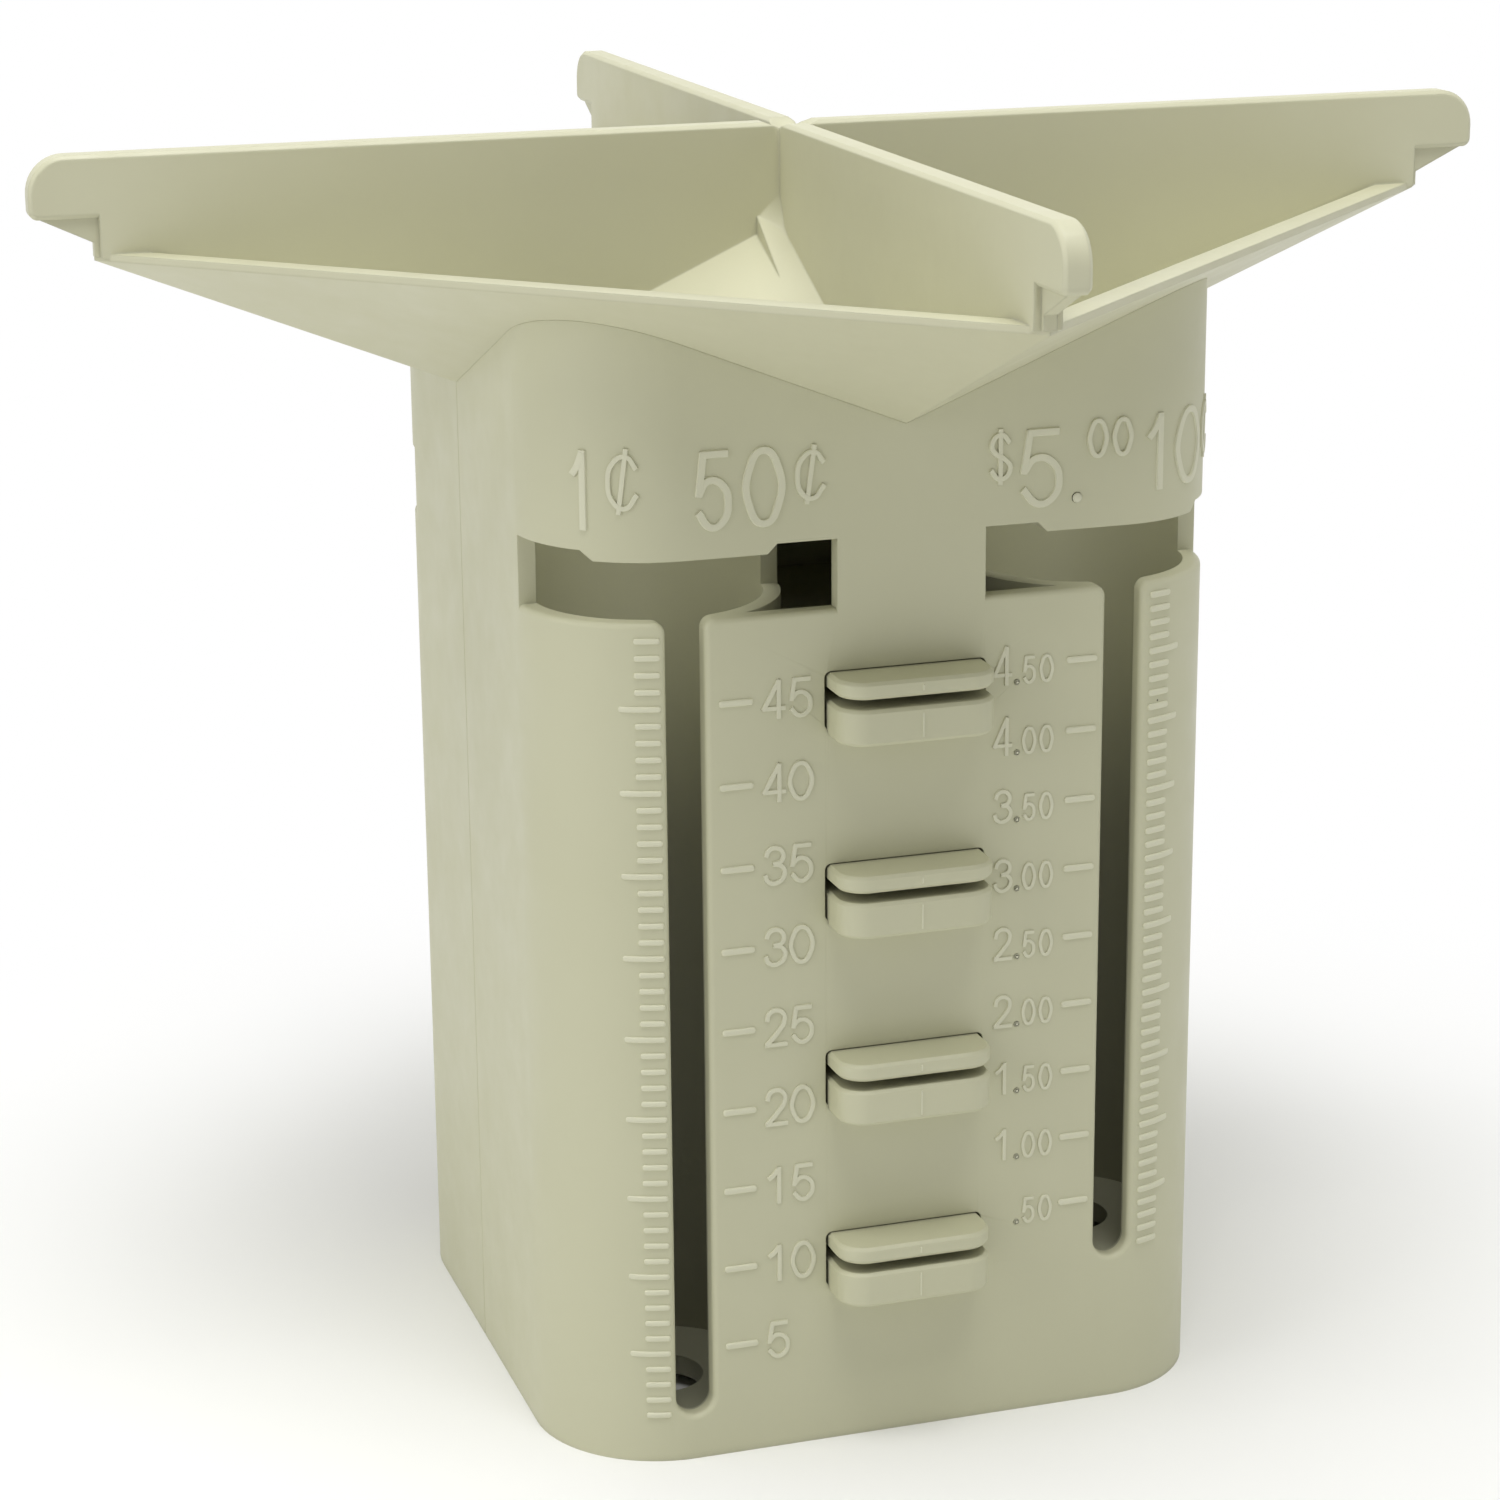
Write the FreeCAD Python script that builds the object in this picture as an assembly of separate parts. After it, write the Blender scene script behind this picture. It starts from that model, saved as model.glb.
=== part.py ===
import FreeCAD, Part
import math
import os
from dataclasses import dataclass

# Hand coin sorter: a square tower of two moulded shells with a coin tube in each corner.
# A star-shaped tray drops into the tower's notched top and feeds the four tubes.
# Frame: origin at the centre of the base, +X right and -Y towards the scale face, +Z up. Millimetres.

# Tower shells
tower_width = 65.5
tower_depth = 65.5
tower_wall = 1.65
tube_wall = 1.6
floor_thickness = 2.0
lowest_floor = 2.7
finger_hole_radius = 4.2
window_height = 6.4
window_overrun = 1.9
rear_window_overrun = 0.4
window_setback = 1.0
lip_half_width = 7.6
lip_drop = 0.9
slot_width = 3.5
slot_corner_radius = 1.0
edge_round = 0.55
rear_edge_chamfer = 0.4
seam_chamfer = 0.15

# Coins and the play around them
penny_diameter = 19.05
penny_thickness = 1.55
dime_diameter = 17.91
dime_thickness = 1.33
nickel_diameter = 21.21
nickel_thickness = 1.95
quarter_diameter = 24.26
quarter_thickness = 1.75
small_stack = 50
large_stack = 40
coin_play = 1.05
penny_foot_rise = 1.2
dime_foot_rise = 0.35
nickel_foot_rise = 1.2
quarter_foot_rise = 0.35

# Lap joint between the shells
seam_tube_gap = 3.14
seam_lip_thickness = 1.2
seam_lip_reach = 2.5
seam_lip_root = 3.0
seam_lip_clearance = 0.15
seam_lip_bottom = 4.0
seam_lip_drop = 4.7

# Snap pegs: a plain upper leaf and a hooked lower leaf, in four rows
peg_rows = 4
peg_spacing = 18.0
top_peg_drop = 5.75
peg_tube_gap = 0.9
peg_reach = 4.7
peg_corner_radius = 2.6
peg_edge_chamfer = 0.3
upper_leaf_thickness = 1.6
leaf_slit = 0.95
lower_leaf_thickness = 2.7
hook_depth = 0.65
hook_gap = 0.15
peg_play_side = 0.25
peg_play_height = 0.1
peg_slot_radius = 0.6
peg_root = 12.0
leaf_root_gap = 0.3
web_thickness = 2.2
web_overlap = 1.0
web_drop = 1.7

# Star tray
rim_reach = 65.7
rim_rise = 29.55
rim_edge = 0.65
floor_slope = 0.402
plate_rise = 2.05
ramp_rise = 1.35
ramp_slope = 0.452
divider_thickness = 2.5
divider_rise = 9.6
divider_end_inset = 0.5
divider_edge_chamfer = 0.35
tab_length = 6.2
tab_height = 5.65
tab_top_radius = 3.5
tab_foot_radius = 0.8
gusset_thickness = 1.2
gusset_drop = 2.3
gusset_inset = 0.9
strip_width = 2.3
strip_rise = 0.4
strip_slope = 0.568
hub_rise = 1.9
hub_length = 1.8
hub_width = 1.2
hub_sink = 0.5
dimple_radius = 2.8
dimple_floor_radius = 0.8
dimple_depth = 1.1

# Room left beyond a face by cutting tools, and how close counts as touching
spare = 2.0
near = 0.01

# Heights and reaches that follow from the sizes above
half_width = tower_width / 2
half_depth = tower_depth / 2
stacks = (
    small_stack * penny_thickness,
    small_stack * dime_thickness,
    large_stack * nickel_thickness,
    large_stack * quarter_thickness,
)
sill_height = lowest_floor + max(stacks)
rim_height = sill_height + rim_rise
ramp_apex = rim_height + ramp_rise
strip_apex = ramp_apex + strip_rise
divider_top = rim_height + divider_rise
divider_end = rim_reach - divider_end_inset
tab_reach = divider_end + tab_length


def vec(x, y, z):
    return FreeCAD.Vector(x, y, z)


def box(x_span, y_span, z_span):
    """A box from its low and high limits along each axis."""
    size = [high - low for low, high in (x_span, y_span, z_span)]
    return Part.makeBox(*size, vec(x_span[0], y_span[0], z_span[0]))


def line(start, end):
    return Part.LineSegment(start, end).toShape()


def arc(start, middle, end):
    return Part.Arc(start, middle, end).toShape()


def corner_arc(centre, radius, first, last):
    """An arc in a horizontal plane between two angles in degrees."""
    points = []
    for angle in (first, (first + last) / 2, last):
        turn = math.radians(angle)
        points.append(centre + vec(radius * math.cos(turn), radius * math.sin(turn), 0))
    return arc(*points)


def midpoint(edge):
    return edge.valueAt((edge.FirstParameter + edge.LastParameter) / 2)


def joined(edges):
    """A closed wire from edges in any order."""
    return Part.Wire(Part.__sortEdges__(edges))


@dataclass(frozen=True)
class Tube:
    """A coin tube in one corner of the tower, with its own coin and count."""

    side: int
    face: int
    coin_diameter: float
    coin_thickness: float
    count: int
    foot_rise: float

    @property
    def bore(self):
        return self.coin_diameter / 2 + coin_play

    @property
    def outer(self):
        return self.bore + tube_wall

    @property
    def inset(self):
        return self.bore + tower_wall

    @property
    def x(self):
        return self.side * (half_width - self.inset)

    @property
    def y(self):
        return self.face * (half_depth - self.inset)

    @property
    def floor(self):
        return sill_height - self.count * self.coin_thickness

    @property
    def overrun(self):
        return window_overrun if self.face < 0 else rear_window_overrun

    def cylinder(self, radius, low, high):
        return Part.makeCylinder(radius, high - low, vec(self.x, self.y, low))


penny = Tube(-1, -1, penny_diameter, penny_thickness, small_stack, penny_foot_rise)
dime = Tube(1, -1, dime_diameter, dime_thickness, small_stack, dime_foot_rise)
nickel = Tube(1, 1, nickel_diameter, nickel_thickness, large_stack, nickel_foot_rise)
quarter = Tube(-1, 1, quarter_diameter, quarter_thickness, large_stack, quarter_foot_rise)
tubes = (penny, dime, nickel, quarter)
front_tubes = (penny, dime)
rear_tubes = (nickel, quarter)
peg_half_width = min(abs(tube.x) - tube.outer for tube in front_tubes) - peg_tube_gap
seam_y = min(tube.y - tube.outer for tube in rear_tubes) - seam_tube_gap


def rounded_block(inset, low, high):
    """The tower's outline, drawn in by inset, as a solid between two heights."""
    right = half_width - inset
    back = half_depth - inset
    quarters = ((dime, -90, 0), (nickel, 0, 90), (quarter, 90, 180), (penny, 180, 270))
    edges = []
    for tube, first, last in quarters:
        edges.append(corner_arc(vec(tube.x, tube.y, low), tube.inset - inset, first, last))
    sides = (
        (vec(penny.x, -back, low), vec(dime.x, -back, low)),
        (vec(right, dime.y, low), vec(right, nickel.y, low)),
        (vec(nickel.x, back, low), vec(quarter.x, back, low)),
        (vec(-right, quarter.y, low), vec(-right, penny.y, low)),
    )
    for start, end in sides:
        edges.append(line(start, end))
    return Part.Face(joined(edges)).extrude(vec(0, 0, high - low))


def diamond(reach, height):
    """Corners of a square that stand on the X and Y axes."""
    return [vec(reach, 0, height), vec(0, reach, height), vec(-reach, 0, height), vec(0, -reach, height)]


def flat_face(corners):
    return Part.Face(Part.makePolygon(corners + corners[:1]))


def pyramid(first, last):
    """The solid between two diamonds, each given as reach and height."""
    low = diamond(*first)
    high = diamond(*last)
    faces = [flat_face(low), flat_face(high)]
    for side in range(4):
        after = (side + 1) % 4
        faces.append(flat_face([low[side], low[after], high[after], high[side]]))
    return Part.Solid(Part.Shell(faces))


def under_floor(reach):
    """Height of the tray floor's underside, reach being the sum of the X and Y distances."""
    return rim_height - floor_slope * (rim_reach - reach)


def valley_reach():
    """Reach at which the sloping floor meets the central ramp."""
    return (ramp_apex - plate_rise - under_floor(0)) / (floor_slope + ramp_slope)


def above_floor(rise, ceiling):
    """The space above the tray's floor surface, raised from its underside, up to the ceiling."""
    low = valley_reach() / 2
    bowl = pyramid((low, under_floor(low) + rise), (rim_reach, rim_height + rise))
    upper = pyramid((rim_reach, rim_height + rise), (rim_reach, ceiling))
    tip = ramp_apex - plate_rise + rise
    wide = 2 * valley_reach()
    peak = spare / ramp_slope
    ramp = pyramid((wide, tip - ramp_slope * wide), (peak, tip - ramp_slope * peak))
    nose = pyramid((peak, tip - ramp_slope * peak), (peak / 100, tip - ramp_slope * peak / 100))
    return bowl.fuse(upper).cut(ramp.fuse(nose))


def opening_profile(tube):
    """Overflow window and viewing slot of one tube, drawn on the tower's face."""
    side = tube.side
    foot = tube.floor + tube.foot_rise
    head = sill_height + window_height
    half_slot = slot_width / 2

    def at(offset, height):
        return vec(tube.x + side * offset, 0, height)

    outside = half_width + spare - abs(tube.x)
    inside = -(tube.outer + tube.overrun)
    cut = slot_corner_radius * (1 - math.sqrt(0.5))
    edges = [
        line(at(outside, sill_height), at(half_slot + slot_corner_radius, sill_height)),
        arc(
            at(half_slot + slot_corner_radius, sill_height),
            at(half_slot + cut, sill_height - cut),
            at(half_slot, sill_height - slot_corner_radius),
        ),
        line(at(half_slot, sill_height - slot_corner_radius), at(half_slot, foot + half_slot)),
        arc(at(half_slot, foot + half_slot), at(0, foot), at(-half_slot, foot + half_slot)),
        line(at(-half_slot, foot + half_slot), at(-half_slot, sill_height - slot_corner_radius)),
        arc(
            at(-half_slot, sill_height - slot_corner_radius),
            at(-half_slot - cut, sill_height - cut),
            at(-half_slot - slot_corner_radius, sill_height),
        ),
        line(at(-half_slot - slot_corner_radius, sill_height), at(inside, sill_height)),
        line(at(inside, sill_height), at(inside, head)),
        line(at(inside, head), at(-lip_half_width - lip_drop, head)),
        line(at(-lip_half_width - lip_drop, head), at(-lip_half_width, head - lip_drop)),
        line(at(-lip_half_width, head - lip_drop), at(lip_half_width, head - lip_drop)),
        line(at(lip_half_width, head - lip_drop), at(lip_half_width + lip_drop, head)),
        line(at(lip_half_width + lip_drop, head), at(outside, head)),
        line(at(outside, head), at(outside, sill_height)),
    ]
    return Part.Face(joined(edges))


def opening_cut(tube):
    """Tool that opens one tube's window and viewing slot through the tower's face."""
    outer = tube.face * (half_depth + spare)
    inner = tube.y + tube.face * window_setback
    profile = opening_profile(tube)
    profile.translate(vec(0, outer, 0))
    return profile.extrude(vec(0, inner - outer, 0))


def soft_edges(shell, tube):
    """Outer edges of one tube's sill and viewing slot, which are rounded in front and broken behind."""
    foot = tube.floor + tube.foot_rise
    face_y = tube.face * half_depth
    side_x = tube.side * half_width
    chosen = []
    for edge in shell.Edges:
        middle = midpoint(edge)
        if not foot - near < middle.z < sill_height + near:
            continue
        offset = middle.x - tube.x
        corner = math.hypot(offset, middle.y - tube.y) - tube.inset
        at_sill = abs(middle.z - sill_height) < near
        on_face = abs(middle.y - face_y) < near
        on_corner = abs(corner) < near and offset * tube.side > 0
        on_side = abs(middle.x - side_x) < near
        in_slot = abs(offset) < slot_width / 2 + slot_corner_radius
        beside_slot = abs(offset) < tube.outer + tube.overrun
        if on_face and (in_slot or at_sill) and beside_slot:
            chosen.append(edge)
        elif at_sill and (on_corner or on_side) and middle.y * tube.face > 0:
            chosen.append(edge)
    return chosen


def seam_edges(shell):
    """Upright outer edges where the two shells meet."""
    chosen = []
    for edge in shell.Edges:
        middle = midpoint(edge)
        if abs(middle.y - seam_y) < near and abs(abs(middle.x) - half_width) < near:
            chosen.append(edge)
    return chosen


def tower():
    """Both shells as one block, before the openings and the seam are made."""
    top = divider_top
    block = rounded_block(0, 0, top)
    hollow = rounded_block(tower_wall, -spare, top + spare)
    hollow = hollow.cut([tube.cylinder(tube.outer, -spare, top + spare) for tube in tubes])
    shells = block.cut(hollow)
    return shells.cut(above_floor(0, top + spare))


def tube_cuts(tube):
    """Bore, finger hole and the recess below the floor of one tube."""
    return [
        tube.cylinder(tube.bore, tube.floor, divider_top + spare),
        tube.cylinder(finger_hole_radius, -spare, tube.floor + spare),
        tube.cylinder(tube.bore, -spare, tube.floor - floor_thickness),
    ]


def half_space(face):
    """The front or rear half of the space that the tower fills."""
    span_y = (seam_y, half_depth + spare) if face > 0 else (-half_depth - spare, seam_y)
    reach = half_width + spare
    return box((-reach, reach), span_y, (-spare, divider_top + spare))


def shell_half(block, face, additions):
    """One moulded shell with its two tubes and their openings."""
    shell = block.common(half_space(face))
    if additions:
        shell = shell.fuse(additions)
    pair = [tube for tube in tubes if tube.face == face]
    for tube in pair:
        shell = shell.cut(tube_cuts(tube) + [opening_cut(tube)])
    shell = shell.removeSplitter()
    for tube in pair:
        edges = soft_edges(shell, tube)
        if face < 0:
            shell = shell.makeFillet(edge_round, edges)
        else:
            shell = shell.makeChamfer(rear_edge_chamfer, edges)
    return shell.makeChamfer(seam_chamfer, seam_edges(shell))


def peg_tops():
    """Heights of the upper faces of the pegs, lowest first."""
    top = sill_height - top_peg_drop
    return [top - row * peg_spacing for row in reversed(range(peg_rows))]


def peg_outline(height, back):
    """Plan of a peg from its rounded nose to a given depth, as a flat face."""
    half = peg_half_width
    nose = -half_depth - peg_reach
    left = vec(-half + peg_corner_radius, nose + peg_corner_radius, height)
    right = vec(half - peg_corner_radius, nose + peg_corner_radius, height)
    edges = [
        line(vec(-half, back, height), vec(-half, left.y, height)),
        corner_arc(left, peg_corner_radius, 180, 270),
        line(vec(left.x, nose, height), vec(right.x, nose, height)),
        corner_arc(right, peg_corner_radius, 270, 360),
        line(vec(half, right.y, height), vec(half, back, height)),
        line(vec(half, back, height), vec(-half, back, height)),
    ]
    return Part.Face(joined(edges))


def soft_nose(leaf):
    """Break the edges round a leaf's nose, outside the tower's face."""
    limit = -half_depth - hook_gap - peg_edge_chamfer
    chosen = []
    for edge in leaf.Edges:
        level = abs(edge.Vertexes[0].Z - edge.Vertexes[-1].Z) < near
        if level and midpoint(edge).y < limit:
            chosen.append(edge)
    return leaf.makeChamfer(peg_edge_chamfer, chosen)


def web_front():
    """Front of the web that ties the two rear tubes together and carries the pegs."""
    return max(tube.y - tube.outer for tube in rear_tubes) + web_overlap


def upper_leaf(top):
    """The plain upper leaf of a peg."""
    bottom = top - upper_leaf_thickness
    return soft_nose(peg_outline(bottom, -peg_root).extrude(vec(0, 0, upper_leaf_thickness)))


def lower_leaf_top(top):
    return top - upper_leaf_thickness - leaf_slit


def peg_root_block(top):
    """The solid root of a peg, from the web to where its two leaves part."""
    half = peg_half_width
    bottom = lower_leaf_top(top) - lower_leaf_thickness
    return box((-half, half), (-peg_root, web_front() + web_overlap), (bottom, top))


def snap_leaf(top):
    """The lower leaf of a peg, whose hook catches under the slot in the front shell."""
    high = lower_leaf_top(top)
    low = high - lower_leaf_thickness
    back = -peg_root - leaf_root_gap
    leaf = peg_outline(low, back).extrude(vec(0, 0, lower_leaf_thickness))
    hook = peg_outline(low - hook_depth, -half_depth - hook_gap).extrude(vec(0, 0, hook_depth))
    return soft_nose(leaf.fuse(hook).removeSplitter())


def peg_slot(top):
    """Slot in the front shell that one peg passes through."""
    half = peg_half_width + peg_play_side
    high = top + peg_play_height
    low = lower_leaf_top(top) - lower_leaf_thickness - peg_play_height
    depth = tower_wall + 2 * spare
    slot = box((-half, half), (-half_depth - spare, -half_depth - spare + depth), (low, high))
    along = [edge for edge in slot.Edges if abs(edge.Vertexes[0].Y - edge.Vertexes[1].Y) > spare]
    return slot.makeFillet(peg_slot_radius, along)


def seam_lips():
    """Lips inside the side walls that line the front shell up with the rear one."""
    outer = half_width - tower_wall
    heights = (seam_lip_bottom, sill_height - seam_lip_drop)
    lips = []
    for side in (-1, 1):
        gap = outer - seam_lip_clearance
        tongue = sorted((side * gap, side * (gap - seam_lip_thickness)))
        root = sorted((side * (outer + tower_wall / 2), side * (gap - seam_lip_thickness)))
        lips.append(box(tongue, (seam_y - seam_lip_reach, seam_y), heights))
        lips.append(box(root, (seam_y, seam_y + seam_lip_root), heights))
    return lips


def web():
    """Upright web between the rear tubes."""
    front = web_front()
    return box((quarter.x, nickel.x), (front, front + web_thickness), (0, sill_height - web_drop))


def front_shell(block):
    shell = shell_half(block, -1, [])
    return shell.cut([peg_slot(top) for top in peg_tops()])


def rear_shell(block):
    additions = seam_lips() + [web()]
    for top in peg_tops():
        additions.append(peg_root_block(top))
        additions.append(upper_leaf(top))
    return shell_half(block, 1, additions)


def middle_of_floor(reach):
    """Height halfway through the tray's floor."""
    ramp = ramp_apex - plate_rise - ramp_slope * reach
    return max(under_floor(reach), ramp) + plate_rise / 2


def divider():
    """One divider along X, with its rounded end tabs."""
    half = divider_thickness / 2
    end = divider_end
    valley = valley_reach()
    tab_low = divider_top - tab_height
    foot = min(middle_of_floor(end), rim_height + rim_edge / 2)
    edges = []

    def at(x, z):
        return vec(x, -half, z)

    for side in (-1, 1):
        top_cut = tab_top_radius * (1 - math.sqrt(0.5))
        foot_cut = tab_foot_radius * (1 - math.sqrt(0.5))
        top_start = at(side * (tab_reach - tab_top_radius), divider_top)
        top_end = at(side * tab_reach, divider_top - tab_top_radius)
        foot_start = at(side * tab_reach, tab_low + tab_foot_radius)
        foot_end = at(side * (tab_reach - tab_foot_radius), tab_low)
        edges += [
            line(at(0, divider_top), top_start),
            arc(top_start, at(side * (tab_reach - top_cut), divider_top - top_cut), top_end),
            line(top_end, foot_start),
            arc(foot_start, at(side * (tab_reach - foot_cut), tab_low + foot_cut), foot_end),
            line(foot_end, at(side * end, tab_low)),
            line(at(side * end, tab_low), at(side * end, foot)),
            line(at(side * end, foot), at(side * valley, middle_of_floor(valley))),
            line(at(side * valley, middle_of_floor(valley)), at(0, middle_of_floor(0))),
        ]
    wall = Part.Face(joined(edges)).extrude(vec(0, divider_thickness, 0)).removeSplitter()
    soft = []
    for edge in wall.Edges:
        middle = midpoint(edge)
        on_side = abs(abs(middle.y) - half) < near
        on_tab_end = abs(middle.x) > tab_reach - tab_top_radius and middle.z > tab_low + near
        if on_side and (middle.z > divider_top - near or on_tab_end):
            soft.append(edge)
    return wall.makeChamfer(divider_edge_chamfer, soft)


def gussets():
    """Thin webs under the two end tabs of the divider along X."""
    half = gusset_thickness / 2
    tab_low = divider_top - tab_height
    inner = divider_end - divider_thickness / 2
    webs = []
    for side in (-1, 1):
        corners = [
            vec(side * inner, -half, tab_low + tab_foot_radius / 2),
            vec(side * (tab_reach - gusset_inset), -half, tab_low + tab_foot_radius / 2),
            vec(side * (tab_reach - gusset_inset), -half, tab_low),
            vec(side * rim_reach, -half, tab_low - gusset_drop),
            vec(side * rim_reach, -half, rim_height + rim_edge / 2),
            vec(side * inner, -half, rim_height + rim_edge / 2),
        ]
        webs.append(flat_face(corners).extrude(vec(0, gusset_thickness, 0)))
    return webs


def strips():
    """Steeper strips on the ramp, on both sides of the divider along Y."""
    half = divider_thickness / 2 + strip_width
    ramp_middle = ramp_apex - plate_rise / 2
    run = (strip_apex - ramp_middle) / (strip_slope - ramp_slope)
    corners = [
        vec(-half, -run, ramp_middle - ramp_slope * run - ramp_slope * half),
        vec(-half, 0, strip_apex),
        vec(-half, run, ramp_middle - ramp_slope * run - ramp_slope * half),
        vec(-half, 0, ramp_middle - ramp_slope * half),
    ]
    return flat_face(corners).extrude(vec(2 * half, 0, 0))


def hub_webs():
    """Small sloping webs in the four corners where the dividers cross, above the strips."""
    corner = divider_thickness / 2
    seat = strip_apex - strip_slope * corner
    top = vec(corner, corner, seat + hub_rise)
    along_x = vec(corner + hub_length, corner, seat)
    along_y = vec(corner, corner + hub_width, seat - strip_slope * hub_width)
    deeper = 1 + hub_sink / hub_rise
    foot = vec(corner, corner, seat - hub_sink)
    low_x = top + (along_x - top) * deeper
    low_y = top + (along_y - top) * deeper
    faces = [
        flat_face([top, low_x, foot]),
        flat_face([top, foot, low_y]),
        flat_face([top, low_y, low_x]),
        flat_face([foot, low_x, low_y]),
    ]
    first = Part.Solid(Part.Shell(faces))
    centre = vec(0, 0, 0)
    pair = [first, first.mirror(centre, vec(1, 0, 0))]
    return pair + [web.mirror(centre, vec(0, 1, 0)) for web in pair]


def dimple():
    """The shallow cone sunk where the dividers cross."""
    flare = (dimple_radius - dimple_floor_radius) / dimple_depth
    wide = dimple_radius + flare * spare
    low = vec(0, 0, divider_top - dimple_depth)
    return Part.makeCone(dimple_floor_radius, wide, dimple_depth + spare, low)


def star_tray():
    """The tray: sloping floor, central ramp, crossed dividers and four tube mouths."""
    ceiling = divider_top + spare
    floor = above_floor(0, ceiling).cut(above_floor(plate_rise, ceiling + spare))
    across = (-rim_reach, rim_reach)
    floor = floor.common(box(across, across, (0, rim_height + rim_edge)))
    along_x = divider()
    pieces = [along_x, strips()] + gussets()
    turned = [piece.copy() for piece in [along_x] + gussets()]
    for piece in turned:
        piece.rotate(vec(0, 0, 0), vec(0, 0, 1), 90)
    tray = floor.fuse(pieces + turned + hub_webs())
    mouths = [tube.cylinder(tube.bore, sill_height, divider_top) for tube in tubes]
    return tray.cut(mouths + [dimple()]).removeSplitter()


def main():
    os.makedirs("parts", exist_ok=True)
    block = tower()
    solids = {
        "front_shell": front_shell(block),
        "rear_shell": rear_shell(block),
        "star_tray": star_tray(),
    }
    for row, top in enumerate(peg_tops(), start=1):
        solids[f"snap_leaf_{row}"] = snap_leaf(top)
    for name, shape in solids.items():
        shape.exportStep(f"parts/{name}.step")
        count = len(shape.Solids)
        print(f"{name}: {count} solid, valid {shape.isValid()}, {shape.Volume / 1000:.2f} cm3")


main()
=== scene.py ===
import logging
import math
from dataclasses import dataclass
from enum import Enum

import bpy
from mathutils import Matrix, Vector


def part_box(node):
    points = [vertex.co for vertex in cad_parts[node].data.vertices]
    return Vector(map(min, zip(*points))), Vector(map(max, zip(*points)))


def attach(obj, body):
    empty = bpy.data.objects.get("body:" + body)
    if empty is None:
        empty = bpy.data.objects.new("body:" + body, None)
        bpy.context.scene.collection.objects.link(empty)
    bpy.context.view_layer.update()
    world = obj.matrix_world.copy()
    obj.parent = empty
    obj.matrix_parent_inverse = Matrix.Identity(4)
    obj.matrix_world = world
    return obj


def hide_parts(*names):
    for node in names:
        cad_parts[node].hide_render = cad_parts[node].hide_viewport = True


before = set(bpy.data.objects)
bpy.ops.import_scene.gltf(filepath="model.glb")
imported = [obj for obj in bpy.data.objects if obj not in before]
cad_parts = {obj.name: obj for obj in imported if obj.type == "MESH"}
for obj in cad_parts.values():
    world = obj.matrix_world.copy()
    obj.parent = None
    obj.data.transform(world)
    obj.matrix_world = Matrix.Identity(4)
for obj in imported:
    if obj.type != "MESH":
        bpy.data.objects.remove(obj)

# Looks of a hand coin sorter: two moulded shells, a star tray and four snap leaves, with raised
# counting scales and coin values on the front and rear. Sizes are millimetres unless a name or a
# comment says otherwise.

MM = 0.001
WHITE = (1.0, 1.0, 1.0, 1.0)
# Sockets of Blender's mix node that hold colours; its names are shared by other kinds of value.
MIX_FIRST, MIX_SECOND, MIX_RESULT = 6, 7, 2
# A face looks a given way when its normal has at least this share of that direction.
FACING = 0.9
CENTS_PER_DOLLAR = 100
PEG_ROWS = 4
log = logging.getLogger("coin_sorter")


class Slot(Enum):
    """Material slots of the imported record."""

    SHELL = "shell"
    TRAY = "tray"
    LEAF = "leaf"


class Body(Enum):
    """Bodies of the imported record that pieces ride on."""

    TOWER = "tower"
    TRAY = "tray"
    LEAF_1 = "leaf_1"
    LEAF_2 = "leaf_2"
    LEAF_3 = "leaf_3"
    LEAF_4 = "leaf_4"


def linear_colour(hex_code: str) -> tuple[float, float, float, float]:
    """Turn an sRGB hex colour into linear light.

    Args:
        hex_code: Six hexadecimal digits after a hash sign.

    Returns:
        Red, green, blue and an alpha of one.
    """
    channels = []
    for start in (1, 3, 5):
        value = int(hex_code[start:start + 2], 16) / 255
        channels.append(value / 12.92 if value <= 0.04045 else ((value + 0.055) / 1.055) ** 2.4)
    return (*channels, 1.0)


def add_node(
    tree: bpy.types.NodeTree,
    kind: str,
    settings: dict[str | int, object],
    links: dict[str | int, bpy.types.NodeSocket],
) -> bpy.types.Node:
    """Add one node to a material or world.

    Args:
        tree: Node tree that gets the node.
        kind: Blender's type name of the node.
        settings: Values by name, for an input socket where the node has one, else for the node itself.
        links: Output sockets by the name or number of the input that they feed.

    Returns:
        The new node.
    """
    node = tree.nodes.new(kind)
    for name, value in settings.items():
        if isinstance(name, int) or name in node.inputs:
            node.inputs[name].default_value = value
        else:
            setattr(node, name, value)
    for name, source in links.items():
        tree.links.new(source, node.inputs[name])
    return node


def add_blend(
    tree: bpy.types.NodeTree,
    share: bpy.types.NodeSocket,
    colour: bpy.types.NodeSocket,
    hex_code: str,
) -> bpy.types.NodeSocket:
    """Blend a colour with a plain one.

    Args:
        tree: Node tree that gets the node.
        share: Share of the plain colour at each point.
        colour: Colour where that share is zero.
        hex_code: The plain colour.

    Returns:
        The blended colour.
    """
    blend = add_node(
        tree,
        "ShaderNodeMix",
        {"data_type": "RGBA", MIX_SECOND: linear_colour(hex_code)},
        {"Factor": share, MIX_FIRST: colour},
    )
    return blend.outputs[MIX_RESULT]


def deselect_all() -> None:
    """Leave edit mode and clear the selection."""
    if bpy.context.object and bpy.context.object.mode != "OBJECT":
        bpy.ops.object.mode_set(mode="OBJECT")
    bpy.ops.object.select_all(action="DESELECT")


def activate(piece: bpy.types.Object) -> None:
    """Make one object the only selected and the active one.

    Args:
        piece: Object to work on next.
    """
    deselect_all()
    piece.select_set(True)
    bpy.context.view_layer.objects.active = piece


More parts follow.
